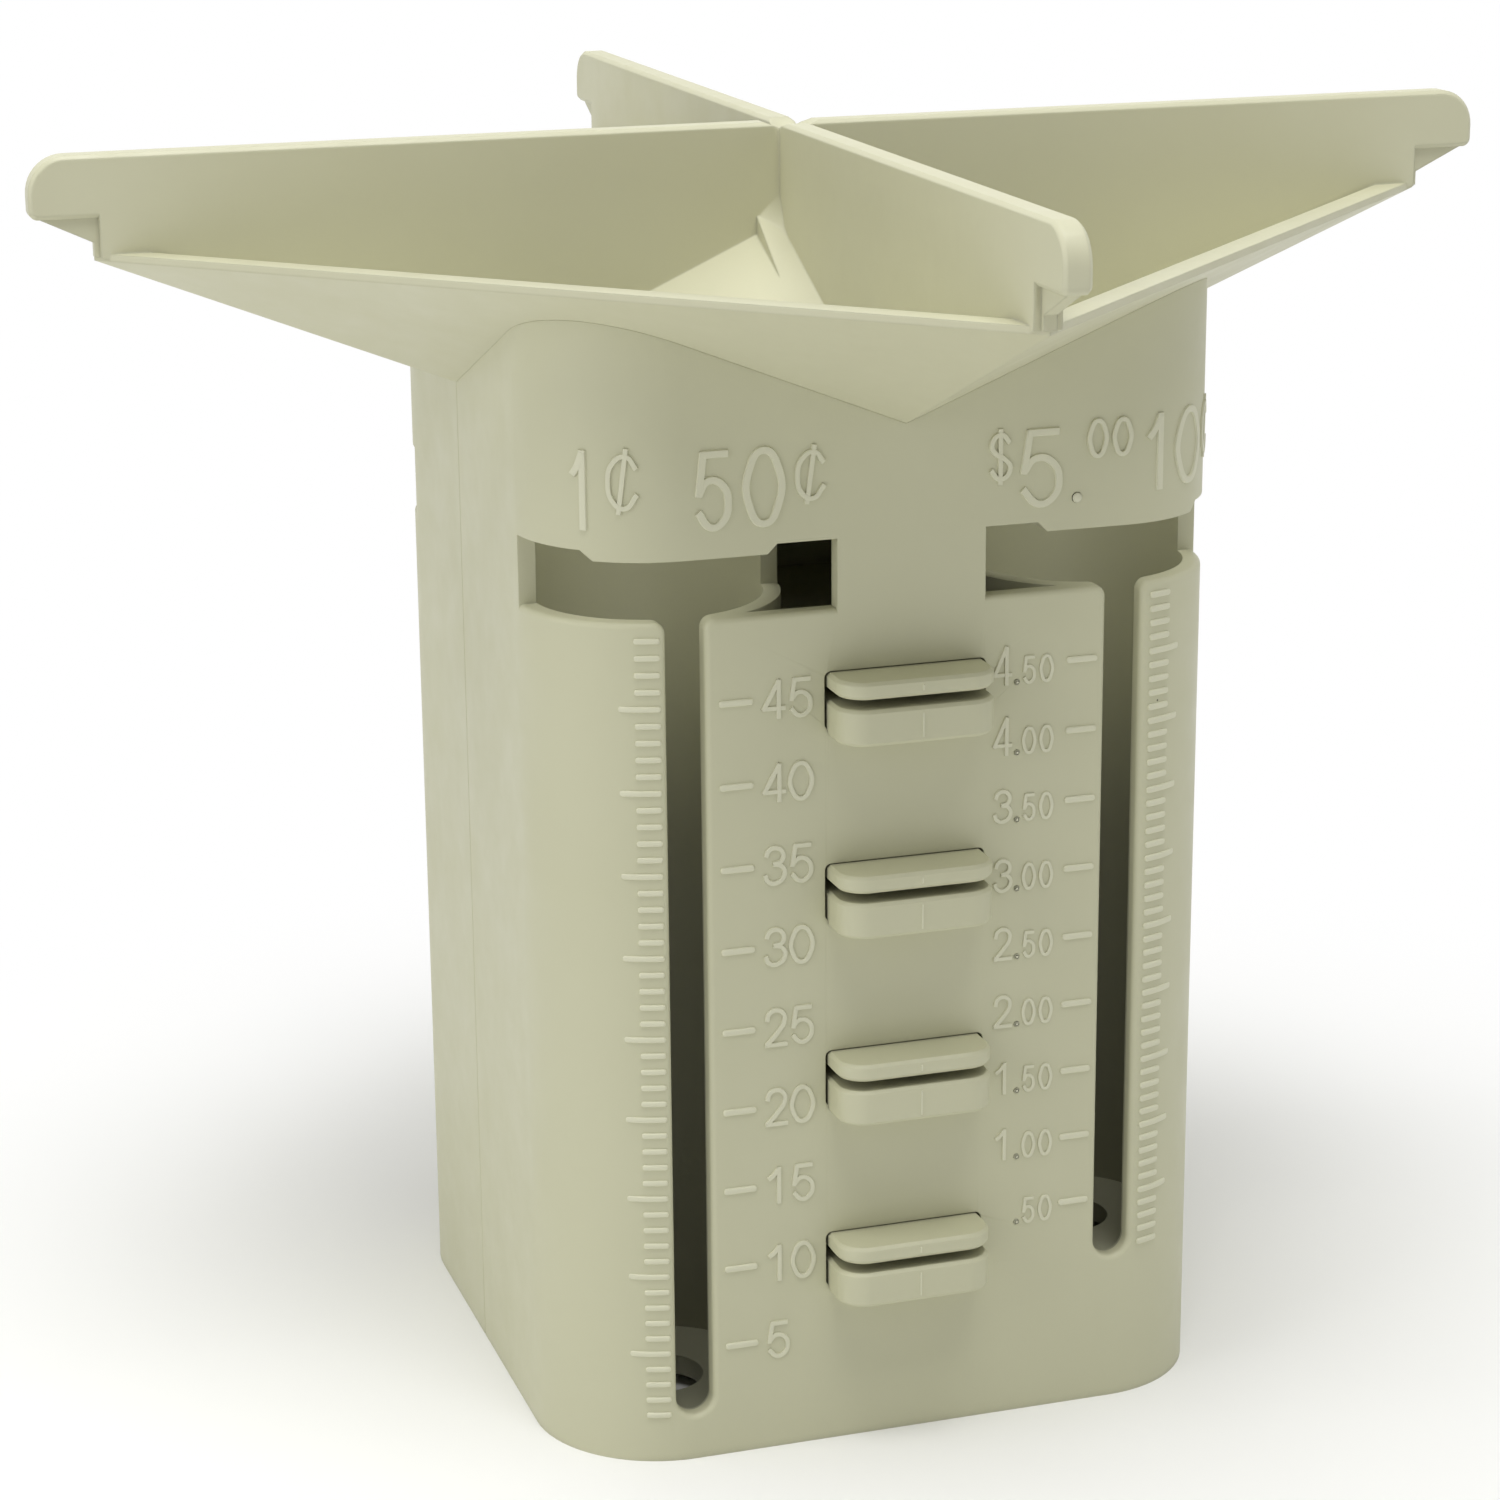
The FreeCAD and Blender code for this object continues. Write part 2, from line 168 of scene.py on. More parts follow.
def joined(pieces: list[bpy.types.Object], name: str) -> bpy.types.Object:
    """Join mesh objects into one.

    Args:
        pieces: Objects to join, of which the first takes in the others.
        name: Name of the joined object.

    Returns:
        The joined object.
    """
    activate(pieces[0])
    for piece in pieces:
        piece.select_set(True)
    bpy.ops.object.join()
    pieces[0].name = name
    pieces[0].data.name = name
    return pieces[0]


def copied(piece: bpy.types.Object) -> bpy.types.Object:
    """Copy an object together with its mesh.

    Args:
        piece: Object to copy.

    Returns:
        The copy, linked to the scene.
    """
    twin = piece.copy()
    twin.data = piece.data.copy()
    bpy.context.scene.collection.objects.link(twin)
    return twin


def shift(piece: bpy.types.Object, offset: Vector) -> bpy.types.Object:
    """Move a piece's mesh and leave its object at the origin."""
    piece.data.transform(Matrix.Translation(offset))
    return piece


def apply_modifiers(piece: bpy.types.Object) -> None:
    """Apply all modifiers of a piece in their order.

    Args:
        piece: Mesh object that keeps the result.
    """
    activate(piece)
    for modifier in list(piece.modifiers):
        bpy.ops.object.modifier_apply(modifier=modifier.name)


@dataclass(frozen=True)
class CoinTube:
    """Axis and bore of a coin tube, whose wall gets painted shade further down."""

    across: float
    along: float
    bore: float


# The penny, dime, nickel and quarter tubes; a bore is given as its radius.
TUBES = (
    CoinTube(-20.525, -20.525, 10.575),
    CoinTube(21.095, -21.095, 10.005),
    CoinTube(19.445, 19.445, 11.655),
    CoinTube(-17.92, 17.92, 13.18),
)


@dataclass(frozen=True)
class MouldedPlastic:
    """Injection-moulded polystyrene, straight from a lightly textured mould.

    It has an even body colour that drifts a little where the melt flowed, a satin skin
    with a fine grain from the mould, edges that the melt rounded, slightly glossier patches
    where it was handled and a few dark specks of burnt melt. Painted shade darkens its narrow
    corners and gaps, and further painted shade greys the walls deep in its coin tubes.
    """

    name: str
    colour: str
    flow_colour: str
    roughness_low: float = 0.4
    roughness_high: float = 0.56
    flow_size: float = 16.0
    patch_size: float = 5.0
    patch_low: float = 0.3
    patch_high: float = 0.7
    # The real grain is near 0.05 mm; it is drawn coarser so that it shows in a render.
    grain_size: float = 0.28
    grain_depth: float = 0.012
    grain_strength: float = 0.5
    ior: float = 1.5
    edge_softness: float = 0.3
    edge_samples: int = 6
    # Painted shade in narrow corners and gaps: its colour, reach and strength.
    grime_colour: str = "#4A4537"
    grime_reach: float = 1.6
    grime_samples: int = 4
    grime_share: float = 0.7
    grime_closed: float = 0.12
    grime_open: float = 0.5
    speck_colour: str = "#55503F"
    speck_spacing: float = 11.0
    speck_radius: float = 0.13
    speck_core: float = 0.6
    speck_share: float = 0.3
    tubes: tuple[CoinTube, ...] = ()
    # Painted shade down the coin tubes: its colour, its strength and the heights where it is full and where
    # it ends.
    tarnish_colour: str = "#5A5A54"
    tarnish_share: float = 0.42
    tarnish_full: float = 48.0
    tarnish_end: float = 74.0
    tarnish_margin: float = 0.3

    def add_grime(self, tree: bpy.types.NodeTree, colour: bpy.types.NodeSocket) -> bpy.types.NodeSocket:
        """Paint shade into narrow corners and gaps, darker where less open space surrounds a point.

        Args:
            tree: Node tree of the finish.
            colour: Colour without painted shade.

        Returns:
            The colour with painted shade in its narrow corners.
        """
        # Painted shade: an ambient-occlusion node darkens the colour in narrow corners and gaps.
        open_share = add_node(
            tree,
            "ShaderNodeAmbientOcclusion",
            {"samples": self.grime_samples, "Distance": self.grime_reach * MM},
            {},
        )
        depth = add_node(
            tree,
            "ShaderNodeMapRange",
            {
                "From Min": self.grime_closed,
                "From Max": self.grime_open,
                "To Min": self.grime_share,
                "To Max": 0.0,
            },
            {"Value": open_share.outputs["AO"]},
        )
        return add_blend(tree, depth.outputs["Result"], colour, self.grime_colour)

    def add_specks(
        self,
        tree: bpy.types.NodeTree,
        place: bpy.types.NodeSocket,
        colour: bpy.types.NodeSocket,
    ) -> bpy.types.NodeSocket:
        """Scatter dark specks, each a grain of melt that burnt in the machine.

        Args:
            tree: Node tree of the finish.
            place: Coordinates in the piece's own frame.
            colour: Colour without specks.

        Returns:
            The colour with its specks.
        """
        cells = add_node(
            tree,
            "ShaderNodeTexVoronoi",
            {"Scale": 1 / (self.speck_spacing * MM)},
            {"Vector": place},
        )
        near = add_node(
            tree,
            "ShaderNodeMapRange",
            {
                "From Min": self.speck_core * self.speck_radius / self.speck_spacing,
                "From Max": self.speck_radius / self.speck_spacing,
                "To Min": 1.0,
                "To Max": 0.0,
            },
            {"Value": cells.outputs["Distance"]},
        )
        chosen = add_node(
            tree,
            "ShaderNodeMath",
            {"operation": "LESS_THAN", 1: self.speck_share},
            {0: cells.outputs["Color"]},
        )
        both = add_node(
            tree,
            "ShaderNodeMath",
            {"operation": "MULTIPLY"},
            {0: near.outputs["Result"], 1: chosen.outputs[0]},
        )
        return add_blend(tree, both.outputs[0], colour, self.speck_colour)

    def add_tarnish(
        self,
        tree: bpy.types.NodeTree,
        place: bpy.types.NodeSocket,
        colour: bpy.types.NodeSocket,
    ) -> bpy.types.NodeSocket:
        """Paint shade onto the walls of the coin tubes, greyer further down.

        Args:
            tree: Node tree of the finish.
            place: Coordinates in the piece's own frame.
            colour: Colour without the painted shade in the tubes.

        Returns:
            The colour with painted shade in its tubes, or the same colour for a piece without tubes.
        """
        if not self.tubes:
            return colour
        # Painted shade inside each tube's bore, strongest low down and fading out towards the top.
        height = add_node(tree, "ShaderNodeSeparateXYZ", {}, {0: place}).outputs["Z"]
        share = add_node(
            tree,
            "ShaderNodeMapRange",
            {
                "interpolation_type": "SMOOTHSTEP",
                "From Min": self.tarnish_full * MM,
                "From Max": self.tarnish_end * MM,
                "To Min": self.tarnish_share,
                "To Max": 0.0,
            },
            {"Value": height},
        ).outputs["Result"]
        plan = add_node(
            tree,
            "ShaderNodeVectorMath",
            {"operation": "MULTIPLY", 1: (1, 1, 0)},
            {0: place},
        )
        for tube in self.tubes:
            axis = (tube.across * MM, tube.along * MM, 0)
            away = add_node(
                tree,
                "ShaderNodeVectorMath",
                {"operation": "DISTANCE", 1: axis},
                {0: plan.outputs["Vector"]},
            )
            inside = add_node(
                tree,
                "ShaderNodeMath",
                {"operation": "LESS_THAN", 1: (tube.bore + self.tarnish_margin) * MM},
                {0: away.outputs["Value"]},
            )
            here = add_node(
                tree,
                "ShaderNodeMath",
                {"operation": "MULTIPLY"},
                {0: share, 1: inside.outputs[0]},
            )
            colour = add_blend(tree, here.outputs[0], colour, self.tarnish_colour)
        return colour

    def material(self) -> bpy.types.Material:
        """Make the finish as a node material.

        Returns:
            The material, ready for a piece's slot.
        """
        material = bpy.data.materials.new(self.name)
        material.use_nodes = True
        tree = material.node_tree
        tree.nodes.clear()
        place = add_node(tree, "ShaderNodeTexCoord", {}, {}).outputs["Object"]
        flow = add_node(
            tree,
            "ShaderNodeTexNoise",
            {"Scale": 1 / (self.flow_size * MM), "Detail": 3.0, "Roughness": 0.55, "Distortion": 0.6},
            {"Vector": place},
        )
        body = add_node(
            tree,
            "ShaderNodeMix",
            {
                "data_type": "RGBA",
                MIX_FIRST: linear_colour(self.colour),
                MIX_SECOND: linear_colour(self.flow_colour),
            },
            {"Factor": flow.outputs["Fac"]},
        )
        colour = self.add_specks(tree, place, body.outputs[MIX_RESULT])
        colour = self.add_grime(tree, self.add_tarnish(tree, place, colour))
        patches = add_node(
            tree,
            "ShaderNodeTexNoise",
            {"Scale": 1 / (self.patch_size * MM), "Detail": 4.0, "Roughness": 0.6},
            {"Vector": place},
        )
        gloss = add_node(
            tree,
            "ShaderNodeMapRange",
            {
                "From Min": self.patch_low,
                "From Max": self.patch_high,
                "To Min": self.roughness_low,
                "To Max": self.roughness_high,
            },
            {"Value": patches.outputs["Fac"]},
        )
        grain = add_node(
            tree,
            "ShaderNodeTexNoise",
            {"Scale": 1 / (self.grain_size * MM), "Detail": 2.0, "Roughness": 0.5},
            {"Vector": place},
        )
        edges = add_node(
            tree,
            "ShaderNodeBevel",
            {"samples": self.edge_samples, "Radius": self.edge_softness * MM},
            {},
        )
        relief = add_node(
            tree,
            "ShaderNodeBump",
            {"Strength": self.grain_strength, "Distance": self.grain_depth * MM},
            {"Height": grain.outputs["Fac"], "Normal": edges.outputs["Normal"]},
        )
        surface = add_node(
            tree,
            "ShaderNodeBsdfPrincipled",
            {"IOR": self.ior},
            {
                "Base Color": colour,
                "Roughness": gloss.outputs["Result"],
                "Normal": relief.outputs["Normal"],
            },
        )
        add_node(tree, "ShaderNodeOutputMaterial", {}, {"Surface": surface.outputs["BSDF"]})
        return material


# Satin skin straight from the mould: an even pale beige, with painted shade greying it down in the tubes.
SHELL_FINISH = MouldedPlastic(
    "satin moulded polystyrene shell",
    "#C4C3A6",
    "#C0BFA1",
    edge_softness=0.12,
    tubes=TUBES,
)
# The same plastic from another mould: a shade lighter, with rounder rims that catch the light.
TRAY_FINISH = MouldedPlastic("satin moulded polystyrene tray", "#C7C6AA", "#C3C1A4")
# Raised ridges: a paler copy of the shell plastic, a painted highlight for the light their tops catch, with
# crisp edges, so that they can be read.
MARK_FINISH = MouldedPlastic(
    "highlight-painted polystyrene marks",
    "#D4D3BA",
    "#CFCEB4",
    edge_softness=0.06,
    grime_share=0.25,
)


def dress(piece: bpy.types.Object, material: bpy.types.Material, body: Body) -> None:
    """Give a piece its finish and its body.

    Args:
        piece: Finished mesh object at the origin.
        material: Finish that covers the whole piece.
        body: Body that carries the piece.
    """
    piece.data.materials.clear()
    piece.data.materials.append(material)
    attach(piece, body.value)
    low, high = corners(piece)
    size = [round((b - a) / MM, 1) for a, b in zip(low, high)]
    log.info("%s on %s, %d faces, size %s mm", piece.name, body.value, len(piece.data.polygons), size)


def corners(piece: bpy.types.Object) -> tuple[Vector, Vector]:
    """Lowest and highest corner of a mesh that sits at the origin.

    Args:
        piece: Mesh object to measure.

    Returns:
        The two corners.
    """
    places = [vertex.co for vertex in piece.data.vertices]
    low = Vector([min(place[axis] for place in places) for axis in range(3)])
    high = Vector([max(place[axis] for place in places) for axis in range(3)])
    return low, high


@dataclass(frozen=True)
class Moulding:
    """One moulded piece of the frame, copied so that its edges can be softened as a mould does."""

    node: str
    edge_radius: float = 0.12
    edge_steps: int = 2
    flat_weight: int = 100
    merge_distance: float = 0.0005
    edge_angle: float = 38.0

    def build(self) -> bpy.types.Object:
        """Copy the frame's mesh, merge its loose triangles and round its sharp edges.

        Returns:
            The moulded piece.
        """
        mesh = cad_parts[self.node].data.copy()
        piece = bpy.data.objects.new(f"{self.node}_moulding", mesh)
        bpy.context.scene.collection.objects.link(piece)
        activate(piece)
        bpy.ops.mesh.customdata_custom_splitnormals_clear()
        bpy.ops.object.mode_set(mode="EDIT")
        bpy.ops.mesh.select_all(action="SELECT")
        bpy.ops.mesh.remove_doubles(threshold=self.merge_distance * MM)
        bpy.ops.object.mode_set(mode="OBJECT")
        rounding = piece.modifiers.new("soft edges", "BEVEL")
        rounding.width = self.edge_radius * MM
        rounding.segments = self.edge_steps
        rounding.limit_method = "ANGLE"
        rounding.angle_limit = math.radians(self.edge_angle)
        rounding.use_clamp_overlap = True
        rounding.harden_normals = False
        apply_modifiers(piece)
        bpy.ops.object.shade_smooth_by_angle(angle=math.radians(self.edge_angle))
        weighting = piece.modifiers.new("flat faces", "WEIGHTED_NORMAL")
        weighting.keep_sharp = True
        weighting.weight = self.flat_weight
        apply_modifiers(piece)
        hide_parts(self.node)
        return piece


@dataclass(frozen=True)
class Face:
    """Front or rear face of the tower with its two rounded corners, on which raised marks lie."""

    front: float
    left_start: float
    left_radius: float
    right_start: float
    right_radius: float

    def place(self, along: float, height: float, rise: float) -> Vector:
        """Find a point on the face.

        Args:
            along: Distance along the outline from the middle of the face, to the right.
            height: Height above the table.
            rise: Distance out of the surface.

        Returns:
            The point in metres.
        """
        side = -1 if along < 0 else 1
        start = self.left_start if side < 0 else self.right_start
        radius = self.left_radius if side < 0 else self.right_radius
        past = abs(along) - start
        if past <= 0:
            return Vector((along, -self.front - rise, height)) * MM
        turn = past / radius
        across = start + (radius + rise) * math.sin(turn)
        inward = radius - (radius + rise) * math.cos(turn)
        return Vector((side * across, -self.front + inward, height)) * MM

    def wrap(self, piece: bpy.types.Object) -> bpy.types.Object:
        """Lay a flat relief on the face: its x runs along the outline, y is height and z is rise.

        Args:
            piece: Relief drawn in millimetres at the origin.

        Returns:
            The same piece, in place.
        """
        for vertex in piece.data.vertices:
            vertex.co = self.place(*vertex.co)
        activate(piece)
        bpy.ops.object.mode_set(mode="EDIT")
        bpy.ops.mesh.select_all(action="SELECT")
        bpy.ops.mesh.normals_make_consistent(inside=False)
        bpy.ops.object.mode_set(mode="OBJECT")
        return piece


@dataclass(frozen=True)
class Stroke:
    """One stroke of an engraved figure, in shares of the figure's width and height."""

    points: tuple[tuple[float, float], ...]
    smooth: bool = False
    closed: bool = False


class Figure(Enum):
    """Figures of the scales and of the coin values, as an engraver's cutter draws them."""

    ZERO = (
        Stroke(((0.5, 1.0), (0.97, 0.72), (0.97, 0.28), (0.5, 0.0), (0.03, 0.28), (0.03, 0.72)), True, True),
    )
    ONE = (
        Stroke(((0.05, 0.7), (0.34, 0.82), (0.6, 1.0)), True),
        Stroke(((0.6, 1.0), (0.6, 0.0))),
    )
    TWO = (
        Stroke(
            ((0.04, 0.7), (0.16, 0.92), (0.5, 1.0), (0.86, 0.9), (0.92, 0.66), (0.55, 0.33), (0.0, 0.0)),
            True,
        ),
        Stroke(((0.0, 0.0), (1.0, 0.0))),
    )
    THREE = (
        Stroke(((0.05, 0.76), (0.2, 0.94), (0.52, 1.0), (0.87, 0.88), (0.84, 0.62), (0.4, 0.54)), True),
        Stroke(((0.4, 0.54), (0.86, 0.46), (0.98, 0.22), (0.55, 0.0), (0.14, 0.07), (0.0, 0.26)), True),
    )
    FOUR = (
        Stroke(((0.74, 0.0), (0.74, 1.0))),
        Stroke(((0.74, 1.0), (0.0, 0.25))),
        Stroke(((0.0, 0.25), (1.0, 0.25))),
    )
    FIVE = (
        Stroke(((0.92, 1.0), (0.2, 1.0))),
        Stroke(((0.2, 1.0), (0.05, 0.46))),
        Stroke(
            ((0.05, 0.46), (0.36, 0.64), (0.8, 0.58), (1.0, 0.32), (0.82, 0.07), (0.45, 0.0), (0.02, 0.22)),
            True,
        ),
    )
    SIX = (
        Stroke(
            (
                (0.92, 0.82), (0.62, 1.0), (0.22, 0.84), (0.03, 0.42), (0.16, 0.1), (0.5, 0.0),
                (0.88, 0.1), (0.97, 0.32), (0.8, 0.56), (0.5, 0.62), (0.2, 0.52), (0.05, 0.34),
            ),
            True,
        ),
    )
    SEVEN = (
        Stroke(((0.0, 1.0), (1.0, 1.0))),
        Stroke(((1.0, 1.0), (0.56, 0.5), (0.34, 0.0)), True),
    )
    EIGHT = (
        Stroke(
            ((0.5, 1.0), (0.87, 0.9), (0.87, 0.64), (0.5, 0.54), (0.13, 0.64), (0.13, 0.9)),
            True,
            True,
        ),
        Stroke(
            ((0.5, 0.54), (0.95, 0.42), (0.97, 0.12), (0.5, 0.0), (0.03, 0.12), (0.05, 0.42)),
            True,
            True,
        ),
    )
    CENT = (
        Stroke(
            ((0.95, 0.7), (0.6, 0.9), (0.18, 0.78), (0.03, 0.48), (0.18, 0.18), (0.55, 0.07), (0.97, 0.3)),
            True,
        ),
        Stroke(((0.62, 1.0), (0.36, 0.0))),
    )
    DOLLAR = (
        Stroke(
            (
                (0.97, 0.76), (0.5, 0.92), (0.05, 0.73), (0.3, 0.55),
                (0.7, 0.46), (1.0, 0.27), (0.5, 0.08), (0.0, 0.26),
            ),
            True,
        ),
        Stroke(((0.5, 1.0), (0.5, 0.0))),
    )


DIGITS = dict(zip("012345678", Figure))


@dataclass(frozen=True)
class Box:
    """Space that a figure fills on the face, edge to edge of its strokes."""

    left: float
    right: float
    bottom: float
    top: float


@dataclass(frozen=True)
class Engraver:
    """A round cutter in the mould: it leaves flat-topped ridges with sloping sides, and domed points."""

    width: float
    rise: float = 0.2
    flat_share: float = 0.62
    end_reach: float = 0.6
    dome_share: float = 0.95
    dome_steps: int = 3
    point_sides: int = 24
    overlap_drop: float = 0.012
    sides: int = 3
    smoothness: int = 8

    def stroke(self, stroke: Stroke, box: Box, drop: float) -> bpy.types.Object:
        """Cut one stroke as a swept tube and press it flat.

        Args:
            stroke: Line that the cutter follows.
            box: Space of the whole figure.
            drop: How far the ridge stays below its full rise, so that crossings don't share a face.

        Returns:
            The ridge, flat in x and y with its rise in z, in millimetres.
        """
        half = self.width / 2
        low = Vector((box.left + half, box.bottom + half, 0))
        span = Vector((box.right - box.left - self.width, box.top - box.bottom - self.width, 0))
        places = [low + Vector((x * span.x, y * span.y, 0)) for x, y in stroke.points]
        if not stroke.smooth:
            reach = (places[-1] - places[0]).normalized() * half * self.end_reach
            places[0] = places[0] - reach
            places[-1] = places[-1] + reach
        curve = bpy.data.curves.new("cutter path", "CURVE")
        curve.dimensions = "3D"
        curve.twist_mode = "Z_UP"
        curve.resolution_u = self.smoothness
        curve.bevel_depth = half
        curve.bevel_resolution = self.sides
        curve.use_fill_caps = not stroke.closed
        spline = curve.splines.new("BEZIER")
        spline.bezier_points.add(len(places) - 1)
        for point, place in zip(spline.bezier_points, places):
            point.co = place
            point.handle_left_type = "AUTO" if stroke.smooth else "VECTOR"
            point.handle_right_type = "AUTO" if stroke.smooth else "VECTOR"
        spline.use_cyclic_u = stroke.closed
        ridge = bpy.data.objects.new("ridge", curve)
        bpy.context.scene.collection.objects.link(ridge)
        activate(ridge)
        bpy.ops.object.convert(target="MESH")
        ridge = bpy.context.object
        knee = half * self.flat_share
        for vertex in ridge.data.vertices:
            share = max(-1.0, min(1.0, vertex.co.z / knee))
            vertex.co.z = share * (self.rise - drop)
        return ridge

    def dot(self, across: float, height: float) -> bpy.types.Object:
        """Press one round point.

        Args:
            across: Place of its middle along the face.
            height: Height of its middle.

        Returns:
            The point, flat in x and y with its rise in z, in millimetres.
        """
        deselect_all()
        bpy.ops.mesh.primitive_cylinder_add(
            vertices=self.point_sides,
            radius=self.width / 2,
            depth=2 * self.rise,
        )
        point = bpy.context.object
        for face in point.data.polygons:
            face.select = face.normal.z > FACING
        bpy.ops.object.mode_set(mode="EDIT")
        bpy.ops.mesh.select_mode(type="FACE")
        bpy.ops.mesh.bevel(offset=self.dome_share * self.rise, segments=self.dome_steps, affect="EDGES")
        bpy.ops.object.mode_set(mode="OBJECT")
        return shift(point, Vector((across, height, 0)))

    def figure(self, figure: Figure, box: Box) -> bpy.types.Object:
        """Cut a whole figure.

        Args:
            figure: Figure to draw.
            box: Space that it fills.

        Returns:
            The figure's ridges as one object.
        """
        ridges = []
        for number, stroke in enumerate(figure.value):
            ridges.append(self.stroke(stroke, box, number * self.overlap_drop))
        return joined(ridges, figure.name.lower())


@dataclass(frozen=True)
class Scale:
    """Counting scale beside one viewing slot: a tick for each coin, a dash and a number each fifth."""

    name: str
    coin_thickness: float
    full_count: int
    tick_start: float
    tick_end: float
    long_tick_end: float
    dash_start: float
    dash_end: float
    tick_width: float
    sill_height: float = 80.7
    dash_width: float = 0.62
    line_rise: float = 0.2
    # A bar is cut into this many lengths, so that it can follow a rounded corner.
    lengths: int = 4
    end_share: float = 0.42
    end_steps: int = 4
    crown_share: float = 0.8
    crown_steps: int = 3
    taper_share: float = 0.7
    step: int = 5

    def height(self, count: int) -> float:
        """Height of the top of a stack of coins."""
        return self.sill_height - (self.full_count - count) * self.coin_thickness

    def bar(self, start: float, end: float, width: float) -> bpy.types.Object:
        """Shape one raised bar with round ends along the face at height zero.

        Args:
            start: End of the bar nearer the middle of the face.
            end: Its other end.
            width: Width of its foot.

        Returns:
            The bar, flat in x and y with its rise in z, in millimetres.
        """
        deselect_all()
        bpy.ops.mesh.primitive_cube_add(size=1)
        bar = bpy.context.object
        length = abs(end - start)
        bpy.ops.object.mode_set(mode="EDIT")
        bpy.ops.mesh.select_mode(type="EDGE")
        bpy.ops.mesh.select_all(action="SELECT")
        bpy.ops.transform.resize(value=(length, width, 2 * self.line_rise))
        bpy.ops.mesh.select_all(action="DESELECT")
        bpy.ops.object.mode_set(mode="OBJECT")
        for edge in bar.data.edges:
            foot, head = (bar.data.vertices[number].co for number in edge.vertices)
            edge.select = abs(head.z - foot.z) > self.line_rise
        bpy.ops.object.mode_set(mode="EDIT")
        bpy.ops.mesh.bevel(offset=self.end_share * width, segments=self.end_steps, affect="EDGES")
        bpy.ops.mesh.select_mode(type="FACE")
        bpy.ops.mesh.select_all(action="DESELECT")
        bpy.ops.object.mode_set(mode="OBJECT")
        for face in bar.data.polygons:
            face.select = face.normal.z > FACING
        bpy.ops.object.mode_set(mode="EDIT")
        crown = self.crown_share * self.line_rise
        bpy.ops.mesh.bevel(offset=crown, segments=self.crown_steps, affect="EDGES")
        for cut in range(1, self.lengths):
            bpy.ops.mesh.select_all(action="SELECT")
            across = length * (cut / self.lengths - 0.5)
            bpy.ops.mesh.bisect(plane_co=(across, 0, 0), plane_no=(1, 0, 0))
        bpy.ops.object.mode_set(mode="OBJECT")
        return shift(bar, Vector(((start + end) / 2, 0, 0)))

    def tapered(self, bar: bpy.types.Object) -> bpy.types.Object:
        """Lower a long tick towards its outer end, where the cutter ran out of the mould.

        Args:
            bar: Long tick at height zero.

        Returns:
            The same tick.
        """
        for vertex in bar.data.vertices:
            past = (vertex.co.x - self.tick_end) / (self.long_tick_end - self.tick_end)
            vertex.co.z *= 1 - self.taper_share * max(0.0, min(1.0, past))
        return bar

    def repeat(self, bar: bpy.types.Object, counts: list[int]) -> list[bpy.types.Object]:
        """Copy a bar to the heights of some counts and take the first one away.

        Args:
            bar: Bar at height zero.
            counts: Numbers of coins that get a bar.

        Returns:
            One bar for each count.
        """
        bars = [shift(copied(bar), Vector((0, self.height(count), 0))) for count in counts]
        bpy.data.objects.remove(bar)
        return bars

    def fifths(self) -> list[int]:
        """Counts that get a long tick, a dash and a number."""
        return list(range(self.step, self.full_count, self.step))

    def build_ticks(self) -> bpy.types.Object:
        """Shape all ticks of the scale.

        Returns:
            The ticks as one flat relief.
        """
        fifths = self.fifths()
        others = [count for count in range(1, self.full_count) if count not in fifths]
        ticks = self.repeat(self.bar(self.tick_start, self.tick_end, self.tick_width), others)
        long_tick = self.tapered(self.bar(self.tick_start, self.long_tick_end, self.tick_width))
        ticks += self.repeat(long_tick, fifths)
        return joined(ticks, f"{self.name}_ticks")

    def build_dashes(self) -> bpy.types.Object:
        """Shape the dashes that point from the numbers to the slot.

        Returns:
            The dashes as one flat relief.
        """
        dashes = self.repeat(self.bar(self.dash_start, self.dash_end, self.dash_width), self.fifths())
        return joined(dashes, f"{self.name}_dashes")

    def build(self) -> list[bpy.types.Object]:
        """Shape the ticks and the dashes."""
        return [self.build_ticks(), self.build_dashes()]


PENNY_SCALE = Scale(
    "penny",
    coin_thickness=1.55,
    full_count=50,
    tick_start=-22.85,
    tick_end=-25.2,
    long_tick_end=-26.65,
    dash_start=-17.6,
    dash_end=-14.4,
    tick_width=0.54,
)
DIME_SCALE = Scale(
    "dime",
    coin_thickness=1.33,
    full_count=50,
    tick_start=23.83,
    tick_end=26.25,
    long_tick_end=27.65,
    dash_start=15.5,
    dash_end=18.55,
    tick_width=0.62,
)
NICKEL_SCALE = Scale(
    "nickel",
    coin_thickness=1.95,
    full_count=40,
    tick_start=-21.77,
    tick_end=-24.12,
    long_tick_end=-25.57,
    dash_start=-16.52,
    dash_end=-13.32,
    tick_width=0.58,
)
QUARTER_SCALE = Scale(
    "quarter",
    coin_thickness=1.75,
    full_count=40,
    tick_start=20.65,
    tick_end=23.07,
    long_tick_end=24.47,
    dash_start=12.32,
    dash_end=15.37,
    tick_width=0.62,
)


@dataclass(frozen=True)
class PennyNumbers:
    """Numbers of coins beside the penny scale's dashes."""

    scale: Scale
    left: float = -13.65
    digit_width: float = 2.35
    digit_gap: float = 0.15
    digit_height: float = 3.8
    engraver: Engraver = Engraver(0.47, 0.17)

    def build(self) -> bpy.types.Object:
        """Cut all numbers of the scale.

        Returns:
            The numbers as one flat relief.
        """
        figures = []
        for count in self.scale.fifths():
            bottom = self.scale.height(count) - self.digit_height / 2
            for place, digit in enumerate(str(count)):
                left = self.left + place * (self.digit_width + self.digit_gap)
                box = Box(left, left + self.digit_width, bottom, bottom + self.digit_height)
                figures.append(self.engraver.figure(DIGITS[digit], box))
        return joined(figures, "penny_numbers")


